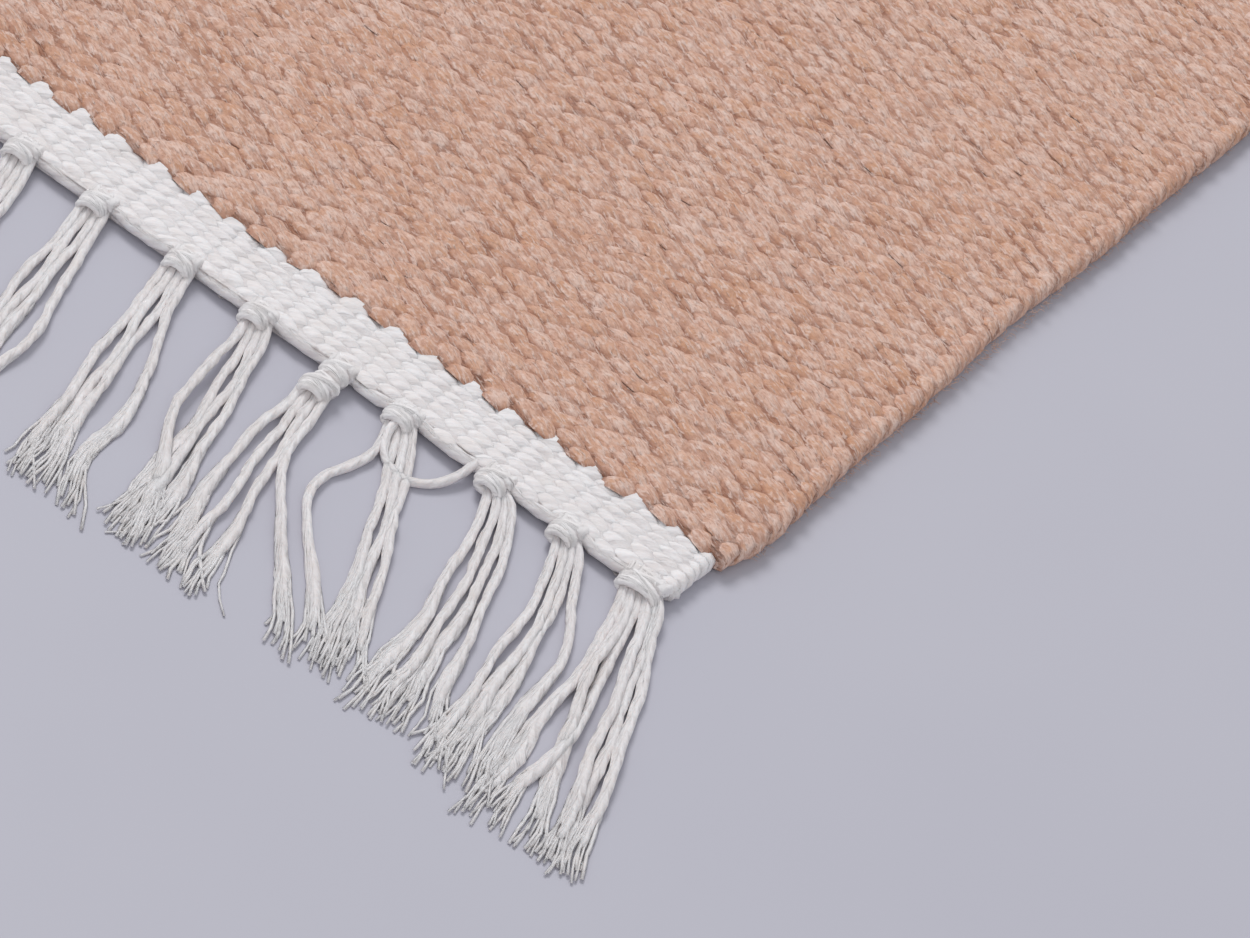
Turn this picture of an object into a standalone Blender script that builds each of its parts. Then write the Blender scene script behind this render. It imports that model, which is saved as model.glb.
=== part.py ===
"""A flat-woven dhurrie rug: a wool field with a white cotton band and a knotted fringe at each end.

Metres, +Z up. The origin is on the floor under the middle of the rug. X runs along the weft, across the
rug, and Y runs along the warp. The rug lies flat, with its underside at Z = 0.
"""

import math
from collections import namedtuple

import bmesh
import bpy
from mathutils import Matrix, Vector

MM = 0.001

# The woven cloth
RUG_WIDTH = 600 * MM
FIELD_LENGTH = 858 * MM
FIELD_THICKNESS = 6.5 * MM
BAND_DEPTH = 18 * MM
BAND_INSET = 2.5 * MM
BAND_THICKNESS = 5 * MM
CORD_BOW = 2.2 * MM
PARTING_GAP = 0.3 * MM
SELVEDGE_ROUND = 2.4 * MM
CORNER_ROUND = 5 * MM
BAND_EDGE_ROUND = 1.6 * MM
CUTS_PER_BOW = 2

# The slight waver of the selvedges, as two sine waves
WAVER = ((0.9 * MM, 231 * MM, 0.4), (0.5 * MM, 83 * MM, 1.9))
FIELD_CUTS = 28

# The fringe
KNOTS = 26
KNOT_DEPTH = 8 * MM
KNOT_HEIGHT = 6.6 * MM
KNOT_LIFT = 0.2 * MM
KNOT_SIDES = 7
KNOT_RINGS = 4
SECOND_KNOT = 8 * MM
KNOT_OUT = 3.2 * MM
KNOT_MARGIN = 0.6 * MM
MOST_YARNS = 8
YARN_WIDTH = 2.3 * MM
YARN_HEIGHT = 2.1 * MM
ROOT_PITCH = 2.35 * MM
ROOT_TAPER = 0.66
FULL_SHARE = 0.5
ROOT_HEIGHT = 2.4 * MM
FLOOR_SHARE = 0.25
YARN_STATIONS = (0.0, 0.11, 0.28, 0.6, 1.0)

# How each tuft lies, counted from the corner that its yarns sweep towards. Lengths are in millimetres.
# shift: the knot's offset from its even place, towards the corner
# drift: how far the tips have swept towards the corner
# ease: the sweep's curve, under 1 where most of it comes near the knot
# fan: the tuft's width at its tips
# reach: the tips' distance from the edge of the wool
# knots: how many knots are tied below each other
Tuft = namedtuple("Tuft", "shift yarns drift ease fan reach knots")
TUFTS = (
    Tuft(-0.6, 6, 26.5, 0.70, 27.0, 112, 1),
    Tuft(0.5, 4, 25.0, 0.65, 10.8, 109, 1),
    Tuft(2.6, 4, 27.0, 0.55, 13.0, 107, 1),
    Tuft(-1.3, 4, 37.0, 0.85, 10.8, 104, 1),
    Tuft(2.7, 4, 17.0, 1.10, 13.0, 108, 2),
    Tuft(1.8, 4, 22.0, 0.75, 11.0, 107, 1),
    Tuft(1.9, 4, 22.5, 1.00, 10.5, 109, 1),
    Tuft(-1.0, 4, 19.0, 0.90, 10.0, 107, 1),
    Tuft(-0.9, 4, 20.0, 0.80, 10.5, 108, 1),
)
ODD_YARNS = {11: 5, 14: 3, 17: 5, 20: 3, 23: 5}
FRONT, BACK = 0, 1

# Every other tuft: its usual form, how far each value strays from it, and the slow swing of the sweep
USUAL = Tuft(0.0, 4, 21.0, 0.85, 11.0, 107, 1)
STRAY = Tuft(1.8, 0, 2.0, 0.20, 0.8, 2.5, 0)
SWING = 4.0
SWING_TURN = 0.9
UNEVEN_TIPS = 3.0
CHANCE_STEPS = (37.7, 12.9898, 78.233, 4375.8545)


def clear_scene():
    """Remove every object of the start-up scene."""
    for obj in list(bpy.data.objects):
        bpy.data.objects.remove(obj, do_unlink=True)


def new_collection(name):
    """A collection linked to the scene."""
    collection = bpy.data.collections.new(name)
    bpy.context.scene.collection.children.link(collection)
    return collection


def yarn_material(name, colour, roughness):
    """A matt material for undyed or dyed yarn."""
    material = bpy.data.materials.new(name)
    material.use_nodes = True
    shader = material.node_tree.nodes["Principled BSDF"]
    shader.inputs["Base Color"].default_value = (*colour, 1.0)
    shader.inputs["Roughness"].default_value = roughness
    shader.inputs["Metallic"].default_value = 0.0
    return material


def mesh_object(name, bm, collection, material):
    """A new object that holds the finished bmesh."""
    mesh = bpy.data.meshes.new(name)
    bm.to_mesh(mesh)
    bm.free()
    obj = bpy.data.objects.new(name, mesh)
    obj.data.materials.append(material)
    collection.objects.link(obj)
    return obj


def waver(y):
    """How far a selvedge strays outwards at this place along the warp."""
    return sum(size * math.sin(math.tau * y / length + phase) for size, length, phase in WAVER)


def chance(end, index, salt):
    """A fixed number from -1 to 1 for this end, tuft or yarn."""
    by_end, by_index, by_salt, size = CHANCE_STEPS
    value = math.sin(end * by_end + index * by_index + salt * by_salt) * size
    return 2 * (value - math.floor(value)) - 1


def box_mesh(low, high):
    """A bmesh box between two corners."""
    bm = bmesh.new()
    size = [b - a for a, b in zip(low, high)]
    middle = [(a + b) / 2 for a, b in zip(low, high)]
    bmesh.ops.create_cube(bm, size=1, matrix=Matrix.Translation(middle) @ Matrix.Diagonal((*size, 1)))
    return bm


def bevel_edges(bm, wanted, width, segments):
    """Round the edges for which wanted(first corner, second corner) holds."""
    edges = [edge for edge in bm.edges if wanted(edge.verts[0].co, edge.verts[1].co)]
    bmesh.ops.bevel(bm, geom=edges, offset=width, segments=segments, profile=0.5, affect="EDGES")


def cut_across(bm, direction, places):
    """Cut the mesh into slices across X or Y, so that its sides can follow a curve."""
    for place in places:
        geometry = bm.verts[:] + bm.edges[:] + bm.faces[:]
        bmesh.ops.bisect_plane(bm, geom=geometry, plane_co=direction * place, plane_no=direction)


def build_field(collection, material):
    """The wool field: one flat sheet with round, slightly wavering selvedges."""
    half_width = RUG_WIDTH / 2
    half_length = FIELD_LENGTH / 2
    bm = box_mesh((-half_width, -half_length, 0), (half_width, half_length, FIELD_THICKNESS))
    bevel_edges(bm, lambda a, b: abs(a.y - b.y) > half_length, SELVEDGE_ROUND, 2)
    step = FIELD_LENGTH / FIELD_CUTS
    cut_across(bm, Vector((0, 1, 0)), [step * i - half_length for i in range(1, FIELD_CUTS)])
    for vert in bm.verts:
        side = math.copysign(1, vert.co.x)
        vert.co.x += side * waver(side * vert.co.y)
    return mesh_object("wool_field", bm, collection, material)


def tuft_rows(end):
    """The row of every tuft of an end, from the corner inwards."""
    rows = []
    for index in range(KNOTS):
        if index < len(TUFTS) and (end == FRONT or index == 0):
            rows.append(TUFTS[index])
            continue
        yarns = ODD_YARNS.get(index, USUAL.yarns)
        swing = SWING * math.sin(index * SWING_TURN + 2 * end)
        rows.append(
            Tuft(
                shift=USUAL.shift + STRAY.shift * chance(end, index, 1),
                yarns=yarns,
                drift=USUAL.drift + swing + STRAY.drift * chance(end, index, 2),
                ease=USUAL.ease + STRAY.ease * chance(end, index, 3),
                fan=USUAL.fan * yarns / USUAL.yarns + STRAY.fan * chance(end, index, 4),
                reach=USUAL.reach + STRAY.reach * chance(end, index, 5),
                knots=USUAL.knots,
            )
        )
    return rows


def knot_place(index, row):
    """Where a tuft's first knot lies across the rug."""
    pitch = RUG_WIDTH / KNOTS
    return RUG_WIDTH / 2 - pitch * (index + 0.5) + row.shift * MM


def bow_at(x, knots):
    """How far the outer pick bows out at x: none at a knot, most midway between two."""
    for right, left in zip(knots, knots[1:]):
        if left <= x <= right:
            return CORD_BOW * math.sin(math.pi * (x - left) / (right - left))
    return 0.0


def build_band(knots):
    """The cotton band of the front end, its outer edge bowed between the knots."""
    seam = -FIELD_LENGTH / 2 - PARTING_GAP
    edge = -FIELD_LENGTH / 2 - BAND_DEPTH
    half_width = RUG_WIDTH / 2 - BAND_INSET
    bm = box_mesh((-half_width, edge, 0), (half_width, seam, BAND_THICKNESS))
    outer = edge + PARTING_GAP
    bevel_edges(bm, lambda a, b: a.y < outer and b.y < outer and abs(a.z - b.z) > MM, CORNER_ROUND, 2)
    rim = seam - PARTING_GAP
    bevel_edges(
        bm,
        lambda a, b: min(a.y, b.y) < rim and abs(a.z - b.z) < PARTING_GAP,
        BAND_EDGE_ROUND,
        1,
    )
    spans = [(left, right) for right, left in zip(knots, knots[1:])]
    places = [left + (right - left) * i / CUTS_PER_BOW for left, right in spans for i in range(CUTS_PER_BOW)]
    cut_across(bm, Vector((1, 0, 0)), sorted(places))
    for vert in bm.verts:
        share = (seam - vert.co.y) / (seam - edge)
        vert.co.y -= share * bow_at(vert.co.x, knots)
    return bm


def build_knots(rows, knots):
    """The knots, as round lumps against the band's edge."""
    bm = bmesh.new()
    for row, x in zip(rows, knots):
        width = ROOT_PITCH * row.yarns + KNOT_MARGIN
        depth = KNOT_DEPTH + SECOND_KNOT * (row.knots - 1)
        y = -FIELD_LENGTH / 2 - BAND_DEPTH - KNOT_OUT + (KNOT_DEPTH - depth) / 2
        place = Matrix.Translation((x, y, KNOT_LIFT + KNOT_HEIGHT / 2))
        shape = Matrix.Diagonal((width / 2, depth / 2, KNOT_HEIGHT / 2, 1))
        bmesh.ops.create_uvsphere(
            bm, u_segments=KNOT_SIDES, v_segments=KNOT_RINGS, radius=1, matrix=place @ shape
        )
    return bm


def yarn_points(end, tuft, row, knot_x, yarn):
    """The route of one fringe yarn: out of its knot, down to the floor and along it to the tip."""
    rank = 2 * yarn / (row.yarns - 1) - 1
    root_width = ROOT_PITCH * (row.yarns - 1)
    root_y = -FIELD_LENGTH / 2 - BAND_DEPTH - KNOT_OUT - SECOND_KNOT * (row.knots - 1)
    shortfall = UNEVEN_TIPS * abs(chance(end, MOST_YARNS * tuft + yarn, 6))
    tip_y = -FIELD_LENGTH / 2 - (row.reach - shortfall) * MM
    points = []
    for share in YARN_STATIONS:
        width = root_width + (row.fan * MM - root_width) * share
        sweep = row.drift * MM * share**row.ease
        drop = max(0.0, 1 - share / FLOOR_SHARE)
        points.append(
            Vector(
                (
                    knot_x + sweep + rank * width / 2,
                    root_y + (tip_y - root_y) * share,
                    ROOT_HEIGHT * drop**2,
                )
            )
        )
    return points


def yarn_section():
    """A three-sided section whose flat side is the path's own height."""
    curve = bpy.data.curves.new("yarn_section", "CURVE")
    spline = curve.splines.new("POLY")
    corners = ((-YARN_WIDTH / 2, 0), (YARN_WIDTH / 2, 0), (0, YARN_HEIGHT))
    spline.points.add(len(corners) - 1)
    for point, (across, up) in zip(spline.points, corners):
        point.co = (across, up, 0, 1)
    spline.use_cyclic_u = True
    section = bpy.data.objects.new("yarn_section", curve)
    return section


def build_yarns(end, rows, knots, cutters, material):
    """All the yarns of an end as one mesh object, made from a curve."""
    section = yarn_section()
    cutters.objects.link(section)
    section.hide_render = True
    curve = bpy.data.curves.new("fringe_route", "CURVE")
    curve.dimensions = "3D"
    curve.twist_mode = "Z_UP"
    curve.bevel_mode = "OBJECT"
    curve.bevel_object = section
    curve.use_fill_caps = True
    for tuft, (row, knot_x) in enumerate(zip(rows, knots)):
        for yarn in range(row.yarns):
            spline = curve.splines.new("POLY")
            points = yarn_points(end, tuft, row, knot_x, yarn)
            spline.points.add(len(points) - 1)
            for place, share, co in zip(spline.points, YARN_STATIONS, points):
                place.co = (*co, 1)
                place.radius = ROOT_TAPER + (1 - ROOT_TAPER) * min(1.0, share / FULL_SHARE)
    route = bpy.data.objects.new("fringe_route", curve)
    cutters.objects.link(route)
    bpy.context.view_layer.update()
    mesh = bpy.data.meshes.new_from_object(route.evaluated_get(bpy.context.evaluated_depsgraph_get()))
    bm = bmesh.new()
    bm.from_mesh(mesh)
    bmesh.ops.remove_doubles(bm, verts=bm.verts[:], dist=0.01 * MM)
    bmesh.ops.recalc_face_normals(bm, faces=bm.faces[:])
    for helper in (route, section):
        bpy.data.objects.remove(helper, do_unlink=True)
    return mesh_object(f"yarns_{end}", bm, cutters, material)


def join(body, cutter, solver):
    """Fuse the cutter into the body with a Boolean union."""
    cutter.hide_render = True
    cutter.display_type = "WIRE"
    union = body.modifiers.new(f"join {cutter.name}", "BOOLEAN")
    union.operation = "UNION"
    union.solver = solver
    union.object = cutter


def build_end(end, name, collection, cutters, material):
    """One cotton end: the band, its knots and their yarns, fused. The back end is turned half round."""
    rows = tuft_rows(end)
    knots = [knot_place(index, row) for index, row in enumerate(rows)]
    body = mesh_object(name, build_band(knots), collection, material)
    lumps = mesh_object(f"knots_{end}", build_knots(rows, knots), cutters, material)
    yarns = build_yarns(end, rows, knots, cutters, material)
    for piece in (body, lumps, yarns):
        piece.rotation_euler.z = math.pi * end
    join(body, lumps, "EXACT")
    # The exact solver leaves doubled faces where a yarn grazes the inside of its knot.
    join(body, yarns, "MANIFOLD")
    return body


def main():
    """Build the rug."""
    clear_scene()
    rug = new_collection("dhurrie_rug")
    cutters = new_collection("cutters")
    wool = yarn_material("heathered pink beige wool", (0.545, 0.347, 0.279), 0.92)
    cotton = yarn_material("undyed white cotton", (0.723, 0.694, 0.694), 0.85)
    build_field(rug, wool)
    build_end(FRONT, "cotton_end_front", rug, cutters, cotton)
    build_end(BACK, "cotton_end_back", rug, cutters, cotton)


main()
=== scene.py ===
"""The finish of a flat-woven dhurrie rug: every float of its wool and cotton weave, its knots and its fringe.

Metres, +Z up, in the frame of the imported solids: X runs along the weft, Y along the warp, and the floor
is at Z = 0. The front end, at -Y, is made first, and the back end is the same work turned half round.
"""

import logging
import math
from collections.abc import Callable, Sequence
from dataclasses import dataclass, field, replace
from enum import Enum

import bpy
import numpy as np
from mathutils import Matrix, Vector


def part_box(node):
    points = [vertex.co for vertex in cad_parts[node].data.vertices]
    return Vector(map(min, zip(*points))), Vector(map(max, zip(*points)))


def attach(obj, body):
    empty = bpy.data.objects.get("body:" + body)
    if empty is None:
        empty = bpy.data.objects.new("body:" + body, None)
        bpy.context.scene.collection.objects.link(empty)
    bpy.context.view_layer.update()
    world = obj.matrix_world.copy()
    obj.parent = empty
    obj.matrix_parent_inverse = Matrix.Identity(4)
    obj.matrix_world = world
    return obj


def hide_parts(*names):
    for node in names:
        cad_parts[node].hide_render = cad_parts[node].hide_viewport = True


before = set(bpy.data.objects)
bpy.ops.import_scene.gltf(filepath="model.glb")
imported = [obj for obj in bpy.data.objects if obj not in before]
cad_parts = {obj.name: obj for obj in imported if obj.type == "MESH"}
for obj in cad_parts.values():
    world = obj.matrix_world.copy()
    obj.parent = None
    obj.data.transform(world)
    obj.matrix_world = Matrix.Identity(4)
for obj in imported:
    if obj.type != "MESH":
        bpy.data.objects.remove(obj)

MM = 0.001
UP = np.array((0.0, 0.0, 1.0))
log = logging.getLogger("dhurrie_rug")

# The first number of every random draw.
SEED = 20

# A yarn's number moves on by this from row to row, so that no two rows show the same fibres.
ROW_STEP = 7.31

# A wave texture of this scale repeats once in each unit. The plies are drawn 2.6 mm apart.
WAVE_SCALE = math.tau / 20
PLY_PITCH = 2.6


class Face(Enum):
    """The side of the cloth that a float shows on."""

    TOP = 0
    UNDER = 1


class End(Enum):
    """An end of the rug, and the number that its chances start from."""

    FRONT = 0
    BACK = 1


class Spin(Enum):
    """The way a yarn is twisted, as the sign of its fibres' slope."""

    LEFT = 1
    RIGHT = -1


@dataclass(frozen=True)
class Tuft:
    """How one tuft of the fringe lies. Lengths are in millimetres.

    shift is the knot's offset from its even place, drift how far the tips have swept towards the
    leading corner, ease the sweep's curve, fan the width at the tips, reach the tips' distance from
    the wool, knots how many knots are tied below each other, and thick how thick its yarns are.
    """

    shift: float
    yarns: int
    drift: float
    ease: float
    fan: float
    reach: float
    knots: int = 1
    thick: float = 1.0


@dataclass(frozen=True)
class Stray:
    """A fringe yarn that leaves its tuft's line. Lengths are in millimetres.

    push is a sideways bulge round the share "at" of its length, as wide as "span", tip is how far
    the tip has gone sideways, from the share "turn" onwards, and lift is how high it rides.
    """

    tuft: int
    yarn: int
    push: float
    at: float
    span: float
    tip: float
    turn: float = 0.3
    lift: float = 0.0


# The tufts from the front end's leading corner, then the usual tuft and how far the others stray from it.
TUFTS = (
    Tuft(-0.6, 6, 26.5, 0.70, 27.0, 112, thick=1.16),
    Tuft(0.5, 4, 25.0, 0.65, 10.8, 109),
    Tuft(2.6, 4, 27.0, 0.55, 13.0, 107),
    Tuft(-1.3, 4, 37.0, 0.85, 10.8, 104),
    Tuft(2.7, 4, 17.0, 1.10, 13.0, 108, 2),
    Tuft(1.8, 4, 22.0, 0.75, 11.0, 107),
    Tuft(1.9, 4, 22.5, 1.00, 10.5, 109),
    Tuft(-1.0, 4, 19.0, 0.90, 10.0, 107),
    Tuft(-0.9, 4, 20.0, 0.80, 10.5, 108),
)
USUAL = Tuft(0.0, 4, 21.0, 0.85, 11.0, 107)
STRAY_BY = Tuft(1.8, 0, 2.0, 0.20, 0.8, 2.5)
ODD_YARNS = {11: 5, 14: 3, 17: 5, 20: 3, 23: 5}
SWING = 4.0
SWING_TURN = 0.9
UNEVEN_TIPS = 3.0
MOST_YARNS = 8
CHANCE_STEPS = (37.7, 12.9898, 78.233, 4375.8545)

STRAYS = (
    Stray(0, 1, 0.0, 0.5, 0.2, 9.0, 0.35, 1.6),
    Stray(0, 2, -2.0, 0.3, 0.15, -5.0, 0.45),
    Stray(0, 3, 1.5, 0.5, 0.2, 5.0, 0.4, 1.2),
    Stray(0, 5, -1.5, 0.2, 0.2, 1.0),
    Stray(1, 3, 5.5, 0.42, 0.22, 3.5, 0.6),
    Stray(1, 1, 2.0, 0.3, 0.15, -1.0, 0.5, 0.8),
    Stray(2, 0, -2.0, 0.25, 0.2, -2.5, 0.5),
    Stray(2, 3, 1.5, 0.5, 0.2, 4.0, 0.6),
    Stray(3, 0, -14.0, 0.45, 0.24, -1.0, 0.6),
    Stray(4, 3, 3.0, 0.55, 0.2, 22.0, 0.35, 1.0),
    Stray(4, 2, 2.5, 0.6, 0.2, 2.0, 0.5),
    Stray(4, 0, -2.0, 0.4, 0.25, -1.0),
    Stray(5, 0, -2.5, 0.38, 0.2, 9.5, 0.42, 2.0),
    Stray(6, 3, 5.5, 0.5, 0.24, 4.5, 0.7),
    Stray(7, 3, 3.0, 0.5, 0.25, -2.0, 0.6),
)

# A yarn that hangs out of the front band in a loop, in millimetres.
LOOP = (
    (238.2, -447.0, 3.2),
    (237.8, -453.5, 2.2),
    (235.0, -460.5, 1.3),
    (229.0, -464.8, 1.2),
    (222.5, -462.5, 1.6),
    (218.8, -457.0, 3.0),
    (218.0, -451.0, 4.0),
)


def chance(end: int, index: int, salt: int) -> float:
    """A fixed number from -1 to 1, the same one that the solids use.

    Args:
        end: The number of the rug's end.
        index: The number of the tuft or yarn.
        salt: The number of the quantity that varies.

    Returns:
        The number.
    """
    by_end, by_index, by_salt, size = CHANCE_STEPS
    value = math.sin(end * by_end + index * by_index + salt * by_salt) * size
    return 2 * (value - math.floor(value)) - 1


def clipped_normal(rng: np.random.Generator, shape: int | tuple[int, ...], most: float = 2.0) -> np.ndarray:
    """Normal draws, with none further from 0 than a limit."""
    return np.clip(rng.standard_normal(shape), -most, most)


def smoothstep(value: np.ndarray) -> np.ndarray:
    """Zero below 0, one above 1, and a smooth rise between."""
    share = np.clip(value, 0, 1)
    return share * share * (3 - 2 * share)


def unit(vectors: np.ndarray) -> np.ndarray:
    """The vectors at length one."""
    return vectors / np.linalg.norm(vectors, axis=-1, keepdims=True)


def waves(place: np.ndarray, lengths: Sequence[float], number: np.ndarray) -> np.ndarray:
    """A smooth waver along a place.

    Args:
        place: The places.
        lengths: The length of each wave that it is made of.
        number: A number that sets the waves' phases.

    Returns:
        The waver, between about -1 and 1.
    """
    total = np.zeros(np.broadcast_shapes(place.shape, number.shape))
    for index, length in enumerate(lengths):
        phase = number * (2.399 + 1.7 * index) + 1.3 * index
        total = total + np.sin(math.tau * place / length + phase) / len(lengths)
    return total


def curve(points: Sequence[Sequence[float]], count: int) -> np.ndarray:
    """A smooth line through points.

    Args:
        points: The points that it goes through.
        count: How many points it has, at even steps from the first to the last.

    Returns:
        The points of the line.
    """
    spots = np.array(points)
    spots = np.concatenate((2 * spots[:1] - spots[1:2], spots, 2 * spots[-1:] - spots[-2:-1]))
    place = np.linspace(0, len(points) - 1.000001, count)
    index = place.astype(int)
    t = (place - index)[:, None]
    before, start, end, after = (spots[index + i] for i in range(4))
    return 0.5 * (
        2 * start
        + (end - before) * t
        + (2 * before - 5 * start + 4 * end - after) * t**2
        + (3 * start - before - 3 * end + after) * t**3
    )


@dataclass(frozen=True)
class RugSizes:
    """The sizes that the solids were made from, fitted to the frame."""

    half_length: float
    thickness: float
    half_width: float = 300 * MM
    band_depth: float = 18 * MM
    band_inset: float = 2.5 * MM
    band_thickness: float = 5 * MM
    cord_bow: float = 2.2 * MM
    knots: int = 26
    knot_out: float = 3.2 * MM
    second_knot: float = 8 * MM
    corner_draw: float = 2.8 * MM
    corner_reach: float = 10 * MM
    waver_waves: tuple[tuple[float, float, float], ...] = (
        (0.9 * MM, 231 * MM, 0.4),
        (0.5 * MM, 83 * MM, 1.9),
    )

    @classmethod
    def from_frame(cls) -> "RugSizes":
        """Read the wool field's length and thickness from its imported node."""
        low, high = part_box("wool_field")
        return cls(half_length=(high[1] - low[1]) / 2, thickness=high[2] - low[2])

    def waver(self, y: np.ndarray) -> np.ndarray:
        """How far a selvedge strays outwards at each place along the warp."""
        return sum(size * np.sin(math.tau * y / length + phase) for size, length, phase in self.waver_waves)

    def follow_selvedge(self, points: np.ndarray) -> np.ndarray:
        """Move points sideways with the selvedges, the more the nearer they are to them.

        Args:
            points: The points, in any number of dimensions.

        Returns:
            The moved points.
        """
        side = np.sign(points[..., 0])
        near = (np.abs(points[..., 0]) / self.half_width) ** 6
        to_end = np.maximum(self.half_length - np.abs(points[..., 1]), 0)
        draw_in = self.corner_draw * np.exp(-((to_end / self.corner_reach) ** 1.5))
        moved = points.copy()
        moved[..., 0] += side * near * (self.waver(side * points[..., 1]) - draw_in)
        return moved

    def tuft(self, end: End, index: int) -> Tuft:
        """Find how a tuft lies.

        Args:
            end: The end of the rug.
            index: The tuft's number, counted from the corner that its end sweeps towards.

        Returns:
            The tuft.
        """
        if index < len(TUFTS) and (end is End.FRONT or index == 0):
            return TUFTS[index]
        number = end.value
        yarns = ODD_YARNS.get(index, USUAL.yarns)
        swing = SWING * math.sin(index * SWING_TURN + 2 * number)
        return Tuft(
            shift=USUAL.shift + STRAY_BY.shift * chance(number, index, 1),
            yarns=yarns,
            drift=USUAL.drift + swing + STRAY_BY.drift * chance(number, index, 2),
            ease=USUAL.ease + STRAY_BY.ease * chance(number, index, 3),
            fan=USUAL.fan * yarns / USUAL.yarns + STRAY_BY.fan * chance(number, index, 4),
            reach=USUAL.reach + STRAY_BY.reach * chance(number, index, 5),
        )

    def knot_x(self, end: End, index: int) -> float:
        """Where a tuft's first knot lies across the front end."""
        pitch = 2 * self.half_width / self.knots
        return self.half_width - pitch * (index + 0.5) + self.tuft(end, index).shift * MM


class JoinedMesh:
    """Many small patches and tubes gathered into one mesh.

    Each point carries its place on its yarn in millimetres, along it, round it and a number of the
    yarn's own, and how much of the painted shade of the crevices it is spared, from 1 for none to 0 for all.
    """

    def __init__(self) -> None:
        """Start empty."""
        self.points: list[np.ndarray] = []
        self.yarns: list[np.ndarray] = []
        self.unshaded_lists: list[np.ndarray] = []
        self.loops: list[np.ndarray] = []
        self.sizes: list[np.ndarray] = []
        self.smooth: list[np.ndarray] = []
        self.count = 0

    def add(
        self, points: np.ndarray, yarn: np.ndarray, unshaded: np.ndarray, wrap: bool = False, caps: bool = False
    ) -> None:
        """Add patches of one form.

        Args:
            points: The points, as patches by rows by columns by three.
            yarn: The place on the yarn of each point, in the same form.
            unshaded: How much of the crevices' painted shade each point is spared, as patches by rows by
                columns.
            wrap: Whether each row closes into a ring.
            caps: Whether the first and last ring are closed, with flat faces.
        """
        patches, rows, columns, _ = points.shape
        base = self.count + np.arange(patches)[:, None, None] * rows * columns
        row = np.arange(rows - 1)[None, :, None]
        column = np.arange(columns if wrap else columns - 1)[None, None, :]
        after = (column + 1) % columns
        corners = [
            base + row * columns + column,
            base + (row + 1) * columns + column,
            base + (row + 1) * columns + after,
            base + row * columns + after,
        ]
        quads = np.stack(corners, axis=-1).reshape(-1, 4)
        self.loops.append(quads.ravel())
        self.sizes.append(np.full(len(quads), 4))
        self.smooth.append(np.ones(len(quads), dtype=bool))
        if caps:
            ring = np.arange(columns)[None, :]
            first = base[:, 0] + ring
            last = base[:, 0] + (rows - 1) * columns + ring[:, ::-1]
            self.loops.append(np.concatenate((first, last)).ravel())
            self.sizes.append(np.full(2 * patches, columns))
            self.smooth.append(np.zeros(2 * patches, dtype=bool))
        self.points.append(points.reshape(-1, 3))
        self.yarns.append(yarn.reshape(-1, 3))
        self.unshaded_lists.append(unshaded.ravel())
        self.count += patches * rows * columns

    def build(self, name: str, material: bpy.types.Material, turned: bool = False) -> bpy.types.Object:
        """Make the object, with nothing of it under the floor.

        Args:
            name: The object's name.
            material: Its material.
            turned: Whether it is turned half round, to the back end.

        Returns:
            The object, linked to the scene.
        """
        points = np.concatenate(self.points)
        points[:, 2] = np.maximum(points[:, 2], 0.0)
        if turned:
            points = points * np.array((-1.0, -1.0, 1.0))
        loops = np.concatenate(self.loops).astype(np.int32)
        sizes = np.concatenate(self.sizes)
        starts = np.concatenate(([0], np.cumsum(sizes)[:-1])).astype(np.int32)
        mesh = bpy.data.meshes.new(name)
        mesh.vertices.add(len(points))
        mesh.vertices.foreach_set("co", points.astype(np.float32).ravel())
        mesh.loops.add(len(loops))
        mesh.loops.foreach_set("vertex_index", loops)
        mesh.polygons.add(len(sizes))
        mesh.polygons.foreach_set("loop_start", starts)
        mesh.polygons.foreach_set("use_smooth", np.concatenate(self.smooth))
        yarn = mesh.attributes.new("yarn", "FLOAT_VECTOR", "POINT")
        yarn.data.foreach_set("vector", np.concatenate(self.yarns).astype(np.float32).ravel())
        # The mask of painted shade, which the crevices' shade colour follows.
        unshaded = mesh.attributes.new("unshaded", "FLOAT", "POINT")
        unshaded.data.foreach_set("value", np.concatenate(self.unshaded_lists).astype(np.float32))
        mesh.update(calc_edges=True)
        mesh.materials.append(material)
        obj = bpy.data.objects.new(name, mesh)
        bpy.context.scene.collection.objects.link(obj)
        return obj


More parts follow.
